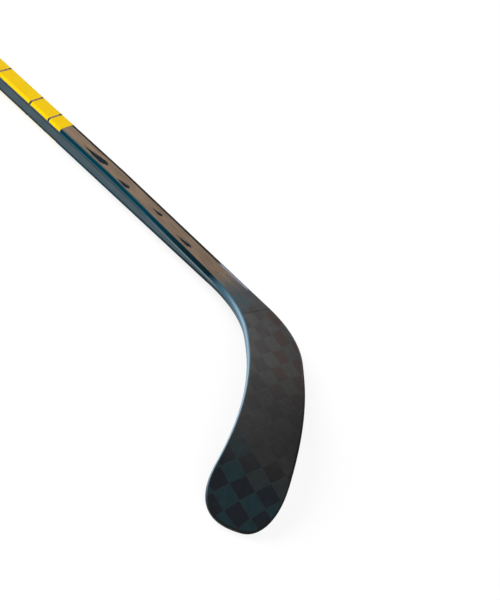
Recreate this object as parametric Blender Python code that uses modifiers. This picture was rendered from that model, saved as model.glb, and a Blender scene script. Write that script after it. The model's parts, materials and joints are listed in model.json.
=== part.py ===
"""Ice hockey stick: a hollow tapered shaft and a curved sandwich blade on a tenon.

The stick is drawn as it stands on the ice: x runs from the heel to the toe, z goes up and
y points to the backhand side. A parent empty then lays it down, with the shaft level and
the toe touching the floor.
"""

import math

import bmesh
import bpy
from mathutils import Matrix, Vector

# Overall sizes, in metres, with angles in degrees
STICK_LENGTH = 1.524        # from the heel to the butt, along the shaft's heel edge
BLADE_LENGTH = 0.296        # from the heel to the tip of the toe, along the ice
LIE = 46.7                  # between the shaft and the ice

# Shaft
SHAFT_WIDTH = 0.030
SHAFT_THICKNESS = 0.0194
SHAFT_CORNER = 0.004
SHAFT_WALL = 0.0016
TAPER_LENGTH = 0.195        # above the joint, down to the neck's section
NECK_WIDTH = 0.0354         # at the joint of shaft and blade
NECK_THICKNESS = 0.0126

# Blade outline
HEEL_RADIUS = 0.136         # from the shaft's heel edge into the sole
SOLE_RADIUS = 1.030         # rocker of the sole
SOLE_CONTACT = 0.138        # where the sole touches the ice
NECK_RADIUS = 0.159         # from the shaft's front edge into the top edge
TOP_RADIUS = 0.530          # hollow of the top edge
TOP_HEIGHT = 0.066          # of the top edge, at the next distance from the heel
TOP_HEIGHT_AT = 0.150
TOP_SLOPE = 4.2             # rise of the top edge there
TOE_ROUNDING = 0.072        # length of the rounded toe
TOE_FULLNESS = 2.4          # 2 is an ellipse, more is squarer
TOE_TIP_SHARE = 0.34        # height of the tip, as a share of the blade's height

# Blade depth and curve
HEEL_THICKNESS = 0.0084
TOE_THICKNESS = 0.0055
EDGE_RADIUS = 0.004
EDGE_LAND = 0.0005          # flat half of the edge, beside the parting line
CURVE_START = 0.070         # from the heel
CURVE_DEPTH = 0.050         # how far the toe bends to the forehand side
CURVE_POWER = 2.2
TOE_TWIST = 7.0             # the top edge opens at the toe

# Inside the blade
SKIN = 0.001                # laminate of each face
RIB_THICKNESS = 0.0016
RIB_SPREAD = 0.34           # each rib from the middle, as a share of the half height
TOE_CORE_LENGTH = 0.055
TOE_CORE_STOP = 3           # short of the tip, counted in thicknesses of skin and adhesive
TENON_DEPTH = 0.060         # inside the shaft

# Butt plug
PLUG_FLANGE = 0.005
PLUG_DEPTH = 0.045
PLUG_ROUNDING = 0.0025
PLUG_GROOVE = 0.0008
PLUG_GROOVES = 3

CLEARANCE = 0.0003          # adhesive line between neighbouring pieces
MERGE = 0.000001

# Fineness of the lofts
CORNER_STEPS = 4
EDGE_STEPS = 4
FACE_STEPS = 8
CORE_STEPS = 4
NECK_STEPS = 10
BLADE_STEPS = 14
TOE_STEPS = 10
TIP_SHARE = 0.999           # the last section stops just short of the tip
SHARP_ANGLE = 35            # between faces, over which an edge is shaded sharp
REACH_TRIES = 24            # halvings when a reach inside the outline is sought
ROLL_TRIES = 50             # halvings when the roll of the resting stick is sought
MOST_ROLL = 60

# Finishes: colour, roughness and metallic value
SHAFT_FINISH = ((0.19, 0.15, 0.12), 0.35, 0.1)
PLUG_FINISH = ((0.02, 0.02, 0.02), 0.6, 0.0)
HOSEL_FINISH = ((0.06, 0.06, 0.07), 0.5, 0.0)
BACKHAND_FINISH = ((0.05, 0.055, 0.06), 0.3, 0.1)
FOREHAND_FINISH = ((0.04, 0.045, 0.05), 0.3, 0.1)
RIB_FINISH = ((0.04, 0.04, 0.04), 0.5, 0.0)
FOAM_FINISH = ((0.75, 0.72, 0.62), 0.9, 0.0)
TOE_FOAM_FINISH = ((0.62, 0.60, 0.55), 0.8, 0.0)

COLLECTION = "ice_hockey_stick"

# Directions in the plane of the stick, as (x, z)
UP = Vector((-math.cos(math.radians(LIE)), math.sin(math.radians(LIE))))
ACROSS = Vector((math.sin(math.radians(LIE)), math.cos(math.radians(LIE))))
SHAFT_ANGLE = math.atan2(-ACROSS.y, -ACROSS.x)


def mix(start, end, share):
    """The value that lies the given share of the way from start to end."""
    return start + (end - start) * share


def tangent_centre(edge_offset, radius, big_centre, big_radius):
    """Centre of the arc that leads from a straight edge of the shaft into a larger arc."""
    start = ACROSS * (edge_offset + radius)
    reach = start - big_centre
    along = reach.dot(UP)
    rest = reach.length_squared - (big_radius - radius) ** 2
    return start - UP * (along + math.sqrt(along ** 2 - rest))


def direction_angle(vector):
    """Angle of a vector in the plane of the stick."""
    return math.atan2(vector.y, vector.x)


# The four arcs of the outline
SOLE_CENTRE = Vector((SOLE_CONTACT, SOLE_RADIUS))
HEEL_CENTRE = tangent_centre(0.0, HEEL_RADIUS, SOLE_CENTRE, SOLE_RADIUS)
HEEL_END_ANGLE = direction_angle(HEEL_CENTRE - SOLE_CENTRE)
TOP_LEAN = math.radians(TOP_SLOPE)
TOP_CENTRE = Vector((TOP_HEIGHT_AT - TOP_RADIUS * math.sin(TOP_LEAN),
                     TOP_HEIGHT + TOP_RADIUS * math.cos(TOP_LEAN)))
NECK_CENTRE = tangent_centre(NECK_WIDTH, NECK_RADIUS, TOP_CENTRE, TOP_RADIUS)
NECK_END_ANGLE = direction_angle(NECK_CENTRE - TOP_CENTRE)

# The shaft ends where the first of its two edges starts to turn into the blade
JOINT = max(HEEL_CENTRE.dot(UP), NECK_CENTRE.dot(UP))
JOINT_SHARE = CLEARANCE / 2 / NECK_RADIUS       # of the neck's arc, for half the adhesive line
TUBE_START = JOINT + CLEARANCE / 2
TUBE_END = STICK_LENGTH - PLUG_FLANGE - CLEARANCE


class Section:
    """One cross-section: its place, its axes across and through the stick, and its half sizes."""

    def __init__(self, low, top, thickness, corner):
        self.flat_centre = (low + top) / 2
        self.flat_across = (top - low).normalized()
        self.half_height = (top - low).length / 2
        self.half_depth = thickness / 2
        self.corner = min(corner, self.half_depth - EDGE_LAND)
        self.low = low
        self.top = top
        self.bend()

    def bend(self):
        """Set the section's place and axes on the curved and twisted blade."""
        span = BLADE_LENGTH - CURVE_START
        reach = max(0.0, (self.flat_centre.x - CURVE_START) / span)
        offset = -CURVE_DEPTH * reach ** CURVE_POWER
        slope = -CURVE_DEPTH * CURVE_POWER * reach ** (CURVE_POWER - 1) / span
        twist = math.radians(TOE_TWIST) * reach
        normal = Vector((-slope, 1.0, 0.0)).normalized()
        across = Vector((self.flat_across.x, self.flat_across.x * slope, self.flat_across.y))
        across.normalize()
        self.centre = Vector((self.flat_centre.x, offset, self.flat_centre.y))
        self.across = across * math.cos(twist) - normal * math.sin(twist)
        self.normal = normal * math.cos(twist) + across * math.sin(twist)

    def point(self, across, depth):
        """A point of the section, from its distances to the middle."""
        return self.centre + self.across * across + self.normal * depth

    def flat_point(self, across):
        """The same place before the blade is bent, in the plane of the stick."""
        return self.flat_centre + self.flat_across * across


def shaft_section(distance):
    """Section of the straight shaft at a distance up from the heel."""
    share = min(1.0, max(0.0, (distance - JOINT) / TAPER_LENGTH))
    width = mix(NECK_WIDTH, SHAFT_WIDTH, share)
    thickness = mix(NECK_THICKNESS, SHAFT_THICKNESS, share)
    return Section(UP * distance, UP * distance + ACROSS * width, thickness, SHAFT_CORNER)


def neck_edge(share, offset, centre, radius, end_angle):
    """A point on one edge of the neck: a straight run from the joint, then an arc."""
    straight = JOINT - centre.dot(UP)
    turn = radius * (end_angle - SHAFT_ANGLE)
    run = share * (straight + turn)
    if run < straight:
        return UP * (JOINT - run) + ACROSS * offset
    angle = SHAFT_ANGLE + (run - straight) / radius
    return centre + Vector((math.cos(angle), math.sin(angle))) * radius


def neck_section(share):
    """Section of the neck, from the joint (0) to the blade (1)."""
    low = neck_edge(share, 0.0, HEEL_CENTRE, HEEL_RADIUS, HEEL_END_ANGLE)
    top = neck_edge(share, NECK_WIDTH, NECK_CENTRE, NECK_RADIUS, NECK_END_ANGLE)
    thickness = mix(NECK_THICKNESS, HEEL_THICKNESS, share)
    return Section(low, top, thickness, mix(SHAFT_CORNER, EDGE_RADIUS, share))


def arc_height(x, centre, radius):
    """Height of the lower half of an arc."""
    return centre.y - math.sqrt(radius ** 2 - (x - centre.x) ** 2)


NECK_END = neck_section(1.0)
BLADE_RUN = BLADE_LENGTH - max(NECK_END.low.x, NECK_END.top.x)


def blade_section(share):
    """Section of the blade, from the neck (0) to the tip of the toe (1)."""
    top_x = mix(NECK_END.top.x, BLADE_LENGTH, share)
    low_x = mix(NECK_END.low.x, BLADE_LENGTH, share)
    top_z = arc_height(top_x, TOP_CENTRE, TOP_RADIUS)
    low_z = arc_height(low_x, SOLE_CENTRE, SOLE_RADIUS)
    tip_z = mix(low_z, top_z, TOE_TIP_SHARE)
    into_toe = max(0.0, 1.0 - (1.0 - share) * BLADE_LENGTH / TOE_ROUNDING)
    left = (1.0 - into_toe ** TOE_FULLNESS) ** (1.0 / TOE_FULLNESS)
    low = Vector((low_x, mix(tip_z, low_z, left)))
    top = Vector((top_x, mix(tip_z, top_z, left)))
    return Section(low, top, mix(HEEL_THICKNESS, TOE_THICKNESS, share), EDGE_RADIUS)


def blade_shares():
    """Places of the blade's sections, closer together round the toe."""
    start = 1.0 - TOE_ROUNDING / BLADE_LENGTH
    shares = [start * step / BLADE_STEPS for step in range(BLADE_STEPS)]
    for step in range(TOE_STEPS):
        shares.append(mix(start, TIP_SHARE, math.sin(math.pi / 2 * step / TOE_STEPS)))
    return shares + [TIP_SHARE]


SHARES = blade_shares()
NECK_SHARES = [step / NECK_STEPS for step in range(NECK_STEPS)]
OUTLINE_SECTIONS = [neck_section(share) for share in NECK_SHARES]
OUTLINE_SECTIONS += [blade_section(share) for share in SHARES]
OUTLINE = [section.low for section in OUTLINE_SECTIONS]
OUTLINE += [section.top for section in reversed(OUTLINE_SECTIONS)]


def edge_distance(point):
    """Distance of a point in the plane of the stick from the blade's outline."""
    nearest = math.inf
    for start, end in zip(OUTLINE, OUTLINE[1:]):
        run = end - start
        along = (point - start).dot(run) / run.length_squared
        foot = start + run * min(1.0, max(0.0, along))
        nearest = min(nearest, (point - foot).length)
    return nearest


def depth_at(section, across, inset):
    """Half depth of a body that lies inset under the blade's surface."""
    inner = section.corner - inset
    inside = (edge_distance(section.flat_point(across)) - inset) / inner
    inside = min(1.0, max(0.0, inside))
    return section.half_depth - section.corner + inner * math.sqrt(1.0 - (1.0 - inside) ** 2)


def inset_limit(section, side, inset):
    """How far a section reaches to one side while it stays inset from the outline."""
    near = 0.0
    far = section.half_height
    for _ in range(REACH_TRIES):
        middle = (near + far) / 2
        if edge_distance(section.flat_point(side * middle)) > inset:
            near = middle
        else:
            far = middle
    return side * near


def corner_angles():
    """Sides and angles of the points round the four corners of a ring, in order."""
    for across_side, depth_side, start in ((1, 1, 0), (-1, 1, 90), (-1, -1, 180), (1, -1, 270)):
        for step in range(CORNER_STEPS + 1):
            yield across_side, depth_side, math.radians(start + 90 * step / CORNER_STEPS)


def rounded_ring(section, half_height, half_depth, radius):
    """Points of a rounded rectangle on a section, in order round it."""
    ring = []
    for across_side, depth_side, angle in corner_angles():
        across = across_side * (half_height - radius) + radius * math.cos(angle)
        depth = depth_side * (half_depth - radius) + radius * math.sin(angle)
        ring.append(section.point(across, depth))
    return ring


def inset_ring(section, inset):
    """Rounded rectangle that lies inset inside a section of the shaft."""
    radius = section.corner - inset
    return rounded_ring(section, section.half_height - inset, section.half_depth - inset, radius)


def neck_ring(section, inset):
    """Ring that lies inset under the surface of the neck, whose edges turn as it widens."""
    ring = []
    reach = {side: inset_limit(section, side, inset) for side in (1, -1)}
    radius = section.corner - inset
    for across_side, depth_side, angle in corner_angles():
        across = reach[across_side] + radius * (math.cos(angle) - across_side)
        ring.append(section.point(across, depth_side * depth_at(section, across, inset)))
    return ring


def add_rings(mesh, rings):
    """Vertices of a row of rings, with the faces between them."""
    rows = [[mesh.verts.new(point) for point in ring] for ring in rings]
    count = len(rows[0])
    for row, following in zip(rows, rows[1:]):
        for index in range(count):
            after = (index + 1) % count
            mesh.faces.new((row[index], row[after], following[after], following[index]))
    return rows


def close_mesh(mesh):
    """Point the faces of a closed body out."""
    bmesh.ops.recalc_face_normals(mesh, faces=mesh.faces)


def loft(rings):
    """Closed body through a row of rings, capped at both ends."""
    mesh = bmesh.new()
    rows = add_rings(mesh, rings)
    mesh.faces.new(rows[0])
    mesh.faces.new(rows[-1])
    close_mesh(mesh)
    return mesh


def tube(outer_rings, inner_rings):
    """Hollow body between two rows of rings, open at both ends."""
    mesh = bmesh.new()
    outer = add_rings(mesh, outer_rings)
    inner = add_rings(mesh, inner_rings)
    count = len(outer[0])
    for end in (0, -1):
        for index in range(count):
            after = (index + 1) % count
            mesh.faces.new((outer[end][index], outer[end][after], inner[end][after], inner[end][index]))
    close_mesh(mesh)
    return mesh


def make_material(name, colour, roughness, metallic):
    """Principled material with one colour."""
    material = bpy.data.materials.new(name)
    material.use_nodes = True
    shader = material.node_tree.nodes["Principled BSDF"]
    shader.inputs["Base Color"].default_value = (*colour, 1.0)
    shader.inputs["Roughness"].default_value = roughness
    shader.inputs["Metallic"].default_value = metallic
    return material


def add_object(name, mesh, material, collection, parent):
    """Object of a finished mesh, laid down with the rest of the stick."""
    data = bpy.data.meshes.new(name)
    mesh.to_mesh(data)
    mesh.free()
    data.materials.append(material)
    data.shade_smooth()
    data.set_sharp_from_angle(angle=math.radians(SHARP_ANGLE))
    piece = bpy.data.objects.new(name, data)
    collection.objects.link(piece)
    piece.parent = parent
    return piece


def shaft_tube():
    """Carbon tube from the joint to the butt plug, tapered above the joint."""
    places = (TUBE_START, JOINT + TAPER_LENGTH, TUBE_END)
    sections = [shaft_section(place) for place in places]
    outer = [inset_ring(section, 0.0) for section in sections]
    inner = [inset_ring(section, SHAFT_WALL) for section in sections]
    return tube(outer, inner)


def end_plug():
    """Butt plug: a grooved body inside the bore and a rounded flange over the tube's end."""
    body = SHAFT_WALL + CLEARANCE
    flange_start = TUBE_END + CLEARANCE
    pitch = PLUG_DEPTH / (2 * PLUG_GROOVES + 1)
    rings = []
    for band in range(2 * PLUG_GROOVES + 1):
        inset = body + PLUG_GROOVE * (band % 2)
        near = flange_start - PLUG_DEPTH + pitch * band
        rings.append(inset_ring(shaft_section(near), inset))
        rings.append(inset_ring(shaft_section(near + pitch), inset))
    rings.append(inset_ring(shaft_section(flange_start), 0.0))
    for step in range(CORNER_STEPS + 1):
        angle = math.pi / 2 * step / CORNER_STEPS
        place = STICK_LENGTH - PLUG_ROUNDING * (1 - math.sin(angle))
        rings.append(inset_ring(shaft_section(place), PLUG_ROUNDING * (1 - math.cos(angle))))
    return loft(rings)


def tenon():
    """Hosel core: a straight tongue in the shaft, a shoulder, and the filling of the neck."""
    mouth = shaft_section(JOINT)
    inner_end = shaft_section(JOINT + TENON_DEPTH)
    fit = SHAFT_WALL + CLEARANCE
    half_height = min(mouth.half_height, inner_end.half_height) - fit
    half_depth = min(mouth.half_depth, inner_end.half_depth) - fit
    radius = mouth.corner - fit
    shoulder = neck_section(JOINT_SHARE)
    rings = [rounded_ring(inner_end, half_height, half_depth, radius)]
    rings.append(rounded_ring(shoulder, half_height, half_depth, radius))
    for share in [JOINT_SHARE] + NECK_SHARES[1:] + [1.0]:
        rings.append(neck_ring(neck_section(share), SKIN + CLEARANCE))
    return loft(rings)


def laminate_row(section, side):
    """Points of one laminate across a section, from edge to edge over its face."""
    reach = section.half_height
    rounding = min(section.corner, reach / 2)
    low_part = []
    for step in range(EDGE_STEPS + 1):
        low_part.append(rounding * (1 - math.cos(math.pi / 2 * step / EDGE_STEPS)) - reach)
    face = [mix(rounding - reach, reach - rounding, step / FACE_STEPS) for step in range(1, FACE_STEPS)]
    spots = low_part + face + [-spot for spot in reversed(low_part)]
    rim = side * CLEARANCE / 2
    row = [section.point(-reach, rim)]
    row += [section.point(spot, side * depth_at(section, spot, 0.0)) for spot in spots]
    row.append(section.point(reach, rim))
    return row


def laminate(side):
    """Outer surface of one half of the blade and neck, open at the joint and the parting line."""
    sections = [neck_section(JOINT_SHARE)] + OUTLINE_SECTIONS[1:]
    rows = [laminate_row(section, side) for section in sections]
    tip = sections[-1]
    spots = [(point - tip.centre).dot(tip.across) for point in rows[-1]]
    rows.append([tip.point(spot, side * CLEARANCE / 2) for spot in spots])
    mesh = bmesh.new()
    verts = [[mesh.verts.new(point) for point in row] for row in rows]
    for row, following in zip(verts, verts[1:]):
        for index in range(len(row) - 1):
            corners = [row[index], following[index], following[index + 1], row[index + 1]]
            if side > 0:
                corners.reverse()
            mesh.faces.new(corners)
    bmesh.ops.remove_doubles(mesh, verts=mesh.verts, dist=MERGE)
    bmesh.ops.dissolve_degenerate(mesh, edges=mesh.edges, dist=MERGE)
    return mesh


def add_skin(piece):
    """Give an open surface the thickness of the laminate, inwards."""
    solidify = piece.modifiers.new("laminate", "SOLIDIFY")
    solidify.thickness = SKIN
    solidify.offset = -1.0
    solidify.use_even_offset = True
    solidify.use_quality_normals = True


def strip_limits(section, low_edge, top_edge):
    """Reach of a core or rib across a section: between two ribs, or from a rib to the skin."""
    inset = SKIN + CLEARANCE
    rib = section.half_height * RIB_SPREAD
    side_gap = RIB_THICKNESS / 2 + CLEARANCE
    places = {
        "sole": inset_limit(section, -1, inset),
        "under_lower_rib": -rib - side_gap,
        "lower_rib_start": -rib - RIB_THICKNESS / 2,
        "lower_rib_end": -rib + RIB_THICKNESS / 2,
        "over_lower_rib": -rib + side_gap,
        "under_upper_rib": rib - side_gap,
        "upper_rib_start": rib - RIB_THICKNESS / 2,
        "upper_rib_end": rib + RIB_THICKNESS / 2,
        "over_upper_rib": rib + side_gap,
        "top": inset_limit(section, 1, inset),
    }
    return places[low_edge], places[top_edge]


def core(sections, low_edge, top_edge):
    """Body between the two laminates, over a stretch of sections."""
    inset = SKIN + CLEARANCE
    rings = []
    for section in sections:
        low, top = strip_limits(section, low_edge, top_edge)
        spots = [mix(low, top, step / CORE_STEPS) for step in range(CORE_STEPS + 1)]
        depths = [depth_at(section, spot, inset) for spot in spots]
        ring = [section.point(spot, depth) for spot, depth in zip(spots, depths)]
        ring += [section.point(spot, -depth) for spot, depth in zip(reversed(spots), reversed(depths))]
        rings.append(ring)
    return loft(rings)


def core_sections(start, end):
    """Sections between two places along the blade."""
    inner = [share for share in SHARES if start < share < end]
    return [blade_section(share) for share in [start] + inner + [end]]


def lowest(points, direction):
    """Least reach of some points along a direction."""
    return min(point.dot(direction) for point in points)


def resting_matrix(shaft_points, blade_points):
    """Placement with the shaft level, rolled until the toe and the shaft share the floor."""
    shaft_up = Vector((UP.x, 0.0, UP.y))
    shaft_across = Vector((ACROSS.x, 0.0, ACROSS.y))
    face_out = Vector((0.0, 1.0, 0.0))
    least = 0.0
    most = math.radians(MOST_ROLL)
    for _ in range(ROLL_TRIES):
        roll = (least + most) / 2
        floor_up = face_out * math.cos(roll) + shaft_across * math.sin(roll)
        if lowest(blade_points, floor_up) < lowest(shaft_points, floor_up):
            least = roll
        else:
            most = roll
    along = -shaft_up
    turned = Matrix((along, floor_up.cross(along), floor_up))
    placed = [turned @ point for point in shaft_points + blade_points]
    low = Vector([min(point[axis] for point in placed) for axis in range(3)])
    high = Vector([max(point[axis] for point in placed) for axis in range(3)])
    shift = Vector((-(low.x + high.x) / 2, -(low.y + high.y) / 2, -low.z))
    return Matrix.Translation(shift) @ turned.to_4x4()


def clear_scene():
    """Start from an empty scene."""
    for old in list(bpy.data.objects):
        bpy.data.objects.remove(old, do_unlink=True)


def main():
    """Build every piece of the stick and lay it down."""
    clear_scene()
    collection = bpy.data.collections.new(COLLECTION)
    bpy.context.scene.collection.children.link(collection)
    rest = bpy.data.objects.new("stick_rest", None)
    collection.objects.link(rest)

    gap = CLEARANCE / BLADE_RUN
    toe_start = 1.0 - TOE_CORE_LENGTH / BLADE_LENGTH
    toe_end = TIP_SHARE - TOE_CORE_STOP * (SKIN + CLEARANCE) / BLADE_LENGTH
    strips = core_sections(gap, toe_start - gap)
    toe = core_sections(toe_start, toe_end)

    pieces = (
        ("shaft_tube", shaft_tube(), SHAFT_FINISH),
        ("end_plug", end_plug(), PLUG_FINISH),
        ("tenon", tenon(), HOSEL_FINISH),
        ("backhand_laminate", laminate(1), BACKHAND_FINISH),
        ("forehand_laminate", laminate(-1), FOREHAND_FINISH),
        ("lower_core", core(strips, "sole", "under_lower_rib"), FOAM_FINISH),
        ("lower_rib", core(strips, "lower_rib_start", "lower_rib_end"), RIB_FINISH),
        ("middle_core", core(strips, "over_lower_rib", "under_upper_rib"), FOAM_FINISH),
        ("upper_rib", core(strips, "upper_rib_start", "upper_rib_end"), RIB_FINISH),
        ("upper_core", core(strips, "over_upper_rib", "top"), FOAM_FINISH),
        ("toe_core", core(toe, "sole", "top"), TOE_FOAM_FINISH),
    )
    made = {}
    for name, mesh, finish in pieces:
        material = make_material(name, *finish)
        made[name] = add_object(name, mesh, material, collection, rest)
    add_skin(made["backhand_laminate"])
    add_skin(made["forehand_laminate"])

    shaft_points = [vertex.co for name in ("shaft_tube", "end_plug") for vertex in made[name].data.vertices]
    blade_points = [vertex.co for name in ("backhand_laminate", "forehand_laminate")
                    for vertex in made[name].data.vertices]
    rest.matrix_world = resting_matrix(shaft_points, blade_points)
    bpy.context.view_layer.update()


main()
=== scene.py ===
import json
import math

import bpy
import numpy as np
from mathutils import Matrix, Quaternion, Vector


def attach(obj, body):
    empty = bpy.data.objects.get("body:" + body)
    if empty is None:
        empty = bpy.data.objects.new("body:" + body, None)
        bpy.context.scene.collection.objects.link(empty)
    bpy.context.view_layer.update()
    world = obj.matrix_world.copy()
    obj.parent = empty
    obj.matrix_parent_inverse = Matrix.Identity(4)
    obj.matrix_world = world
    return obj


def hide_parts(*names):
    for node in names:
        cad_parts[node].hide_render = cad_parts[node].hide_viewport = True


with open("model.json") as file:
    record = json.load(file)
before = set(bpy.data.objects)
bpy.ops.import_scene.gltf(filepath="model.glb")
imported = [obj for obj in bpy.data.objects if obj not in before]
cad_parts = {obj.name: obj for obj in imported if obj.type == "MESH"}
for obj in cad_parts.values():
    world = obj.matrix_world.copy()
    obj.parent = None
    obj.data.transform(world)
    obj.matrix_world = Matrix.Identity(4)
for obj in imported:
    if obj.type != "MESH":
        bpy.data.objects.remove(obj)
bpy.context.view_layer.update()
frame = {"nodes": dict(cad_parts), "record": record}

# Driving sizes of the stick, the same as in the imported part, in metres and degrees
STICK_LENGTH = 1.524            # from the heel to the butt
BLADE_LENGTH = 0.296            # from the heel to the tip of the toe
LIE = 46.7                      # between the shaft and the ice
SHAFT_WIDTH = 0.030
SHAFT_THICKNESS = 0.0194
SHAFT_CORNER = 0.004
SHAFT_WALL = 0.0016
TAPER_LENGTH = 0.195            # above the joint, down to the neck's section
NECK_WIDTH = 0.0354             # at the joint of shaft and blade
NECK_THICKNESS = 0.0126
HEEL_RADIUS = 0.136             # from the shaft's heel edge into the sole
SOLE_RADIUS = 1.030
SOLE_CONTACT = 0.138            # where the sole touches the ice
NECK_RADIUS = 0.159             # from the shaft's front edge into the top edge
TOP_RADIUS = 0.530
TOP_HEIGHT = 0.066              # of the top edge, at the next distance from the heel
TOP_HEIGHT_AT = 0.150
TOP_SLOPE = 4.2                 # rise of the top edge there
TOE_ROUNDING = 0.072            # length of the rounded toe
TOE_FULLNESS = 2.4              # 2 is an ellipse, more is squarer
TOE_TIP_SHARE = 0.34            # height of the tip, as a share of the blade's height
HEEL_THICKNESS = 0.0084
TOE_THICKNESS = 0.0055
EDGE_RADIUS = 0.004
EDGE_LAND = 0.0005              # flat half of the edge
CURVE_START = 0.070             # from the heel
CURVE_DEPTH = 0.050             # how far the toe bends to the forehand side
CURVE_POWER = 2.2
TOE_TWIST = 7.0                 # the top edge opens at the toe
SKIN = 0.001                    # laminate of each face
PLUG_FLANGE = 0.005
CLEARANCE = 0.0003

# Fineness of the visible lofts
FACE_STEPS = 48
SHAFT_STEPS = 70
NECK_STEPS = 44
BLADE_STEPS = 64
TOE_STEPS = 40
TIP_SHARE = 0.99995             # the last section, just short of the tip
SHARP_ANGLE = 35.0

# Paint of the shaft and the neck. A height is up from the heel. A place round the section is from the
# corner's middle, positive on the narrow side. A fade is two values, where it starts and where it is full.
PAINT_FADE = (0.088, 0.138)     # bare weave below, full paint above
PAINT_WANDER = 0.02             # height by which streaks move that fade
EDGE_PAINT_FADE = (-0.003, -0.001)
EDGE_PAINT_REACH = 0.026        # the paint comes further down along the top edge
TEAL_START = -0.0020            # the teal corner, from the broad face to the narrow one
TEAL_END = 0.0036
HEEL_TEAL_START = -0.0060       # start of the same on the heel's side
TEAL_HIGHLIGHT_WIDTH = 0.0010               # width of the painted highlights along the teal's sides
TEAL_DARKENING = (0.26, 0.17)   # the teal darkens towards the neck
NECK_BLUE_FADE = (0.134, 0.106)  # corner and narrow side turn blue at the neck
PINSTRIPE = (0.0046, 0.0053)    # dark line on the narrow side
PINSTRIPE_FADE = (0.23, 0.27)
NARROW_HIGHLIGHT = (0.0044, 0.0051)  # painted highlight: a pale line in its place, near the neck
NARROW_HIGHLIGHT_FADE = (0.27, 0.15)
HEEL_HIGHLIGHT_LINE = (-0.0060, -0.0034)  # painted highlight: a pale line on the heel's side of the neck
HEEL_HIGHLIGHT_RUN = (0.097, 0.145)
HEEL_HIGHLIGHT_TIP = 0.004               # softness of its ends
SOFT = 0.0003                   # half width of a painted edge
CRISP = 0.0002                  # the same of a finer one

# Grain of the paint: scales per metre, up the shaft and round it
STREAK_SCALE = (14.0, 1500.0)
STREAK_DETAIL = 3.0
CLOUD_SCALE = (30.0, 220.0)
CLOUD_DETAIL = 2.0
STREAK_SHARE = 0.7              # of the tone, clouds give the rest
TONE_FADE = (0.3, 0.7)
BROWN_RISE = (0.13, 0.32)       # the brown is paler further up
BROWN_RISE_GAIN = 0.22
BROWN_DROP = 0.14

# Yellow bars: start and end of each, up from the heel
YELLOW_BARS = ((0.424, 0.446), (0.449, 0.484), (0.487, 0.552), (0.555, 0.668))
BAR_SLANT = 0.30
BAR_END = 0.0026                # round the section
FOREHAND_BAR_END = 0.0008

# Dark slashes on the broad faces: start, length, place across and width
SLASHES = (
    (0.338, 0.046, 0.0030, 0.0120),
    (0.292, 0.024, 0.0075, 0.0080),
    (0.236, 0.020, 0.0010, 0.0060),
    (0.176, 0.028, 0.0060, 0.0070),
    (0.700, 0.060, 0.0030, 0.0120),
    (0.790, 0.036, 0.0060, 0.0080),
)
SLASH_SLOPE = 0.08
SLASH_OPENING = (0.0, 0.25)     # shares of the length over which a slash widens
SLASH_CLOSING = (1.15, 0.1)     # and narrows again
SLASH_TIP = 0.02                # share of the length cut off each end
RAGGED_SCALE = (180.0, 1320.0)
RAGGED_DETAIL = 4.0
RAGGED_WIDTH = (1.6, 0.2)       # gain and base of the ragged width

# Weave of the blade: half diagonals of its squares, along and across, at the tip and at the joint
PITCH_ALONG_TIP = 0.0135
PITCH_ALONG_JOINT = 0.0202
PITCH_ACROSS_TIP = 0.0133
PITCH_ACROSS_JOINT = 0.0100
TIP_COUNT = -3.24               # count of half diagonals at the tip
WEAVE_RISE = 0.0107             # the cloth's middle line over the blade's, where it is highest
WEAVE_RISE_AT = 0.150           # from the tip
WEAVE_ARCH = 0.57               # how fast it falls away from there, per metre
TOW_LINE = 0.035                # width of the line between squares, as a share of a square
TOW_LINE_SHARE = 0.10           # how much of the line's colour shows
FIBRE_SCALE = (2.0, 42.0)       # along and across the fibres of a square
FIBRE_DETAIL = 2.0
CROSSING_LAYER = 3.0            # layer of the noise for the crossing fibres
FIBRE_SHADE = (0.8, 0.6)        # gain and base of their shade
FIBRE_HEIGHT = 0.3
RESIN_SCALE = (2.5, 2.5)        # clouds of the resin, in squares
RESIN_DETAIL = 3.0
RESIN_SHADE = (0.5, 0.75)
SOLE_PAINTED_SHADE = -0.11               # painted shade: darkening per half diagonal, towards the sole
SOLE_PAINTED_SHADE_FADE = (1.5, 5.0)

# Where the squares change colour, in half diagonals along from the toe, or across from the top edge
TOE_FADE = (6.5, 0.0)
HEEL_FADE = (7.0, 12.5)
NECK_FADE = (17.4, 18.6)
NECK_SLANT = -0.5               # change of that place per square across
BROWN_FADE = (-0.5, 2.0)
TOE_TEAL_FADE = (5.0, 3.0)
TOE_TEAL_SLANT = 1.6
TOE_TEAL_ROWS = 2.0             # squares across over which that slant goes on

# Rim of the blade: distances from the outline, or half diagonals along from the toe
RIM_FADE = (0.0018, 0.0008)
NECK_RIM = 0.0024               # more than that on the neck's top edge
NECK_RIM_FADE = (9.0, 17.0)
SOLE_RIM = 0.0014               # more than that along the sole
SOLE_RIM_RUN = (2.0, 13.0)
SOLE_RIM_TIP = 2.0
TOE_RIM_FADE = (3.0, -1.0)
RIM_BLUE_FADE = (-2.5, 2.0)
RIDGE_HIGHLIGHT = (-0.0008, 0.0024)       # painted highlight: a pale ridge round the neck's top corner
RIDGE_HIGHLIGHT_SOFT = 0.0016
RIDGE_HIGHLIGHT_FADE = (0.140, 0.085)     # heights
UNDERSIDE_SHADE_FADE = (-0.0010, -0.0028)  # depth at which painted shade darkens the rim's forehand side, which faces the floor
UNDERSIDE_SHADE_RUN = (9.0, 14.0)

# Edge of the neck's outer ply: heights and distances from the outline
SEAM = (0.0615, 0.0626)
SEAM_WAVE = 0.0015
SEAM_SOFT = 0.0004
SEAM_INSET = (0.002, 0.005)
SEAM_SHARE = 0.6                # how much of the line's colour shows
SEAM_STEP = 4.0                 # height of the step, in heights of the weave
WEAVE_INSET = (0.004, 0.010)    # the weave's relief starts this far in

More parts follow.
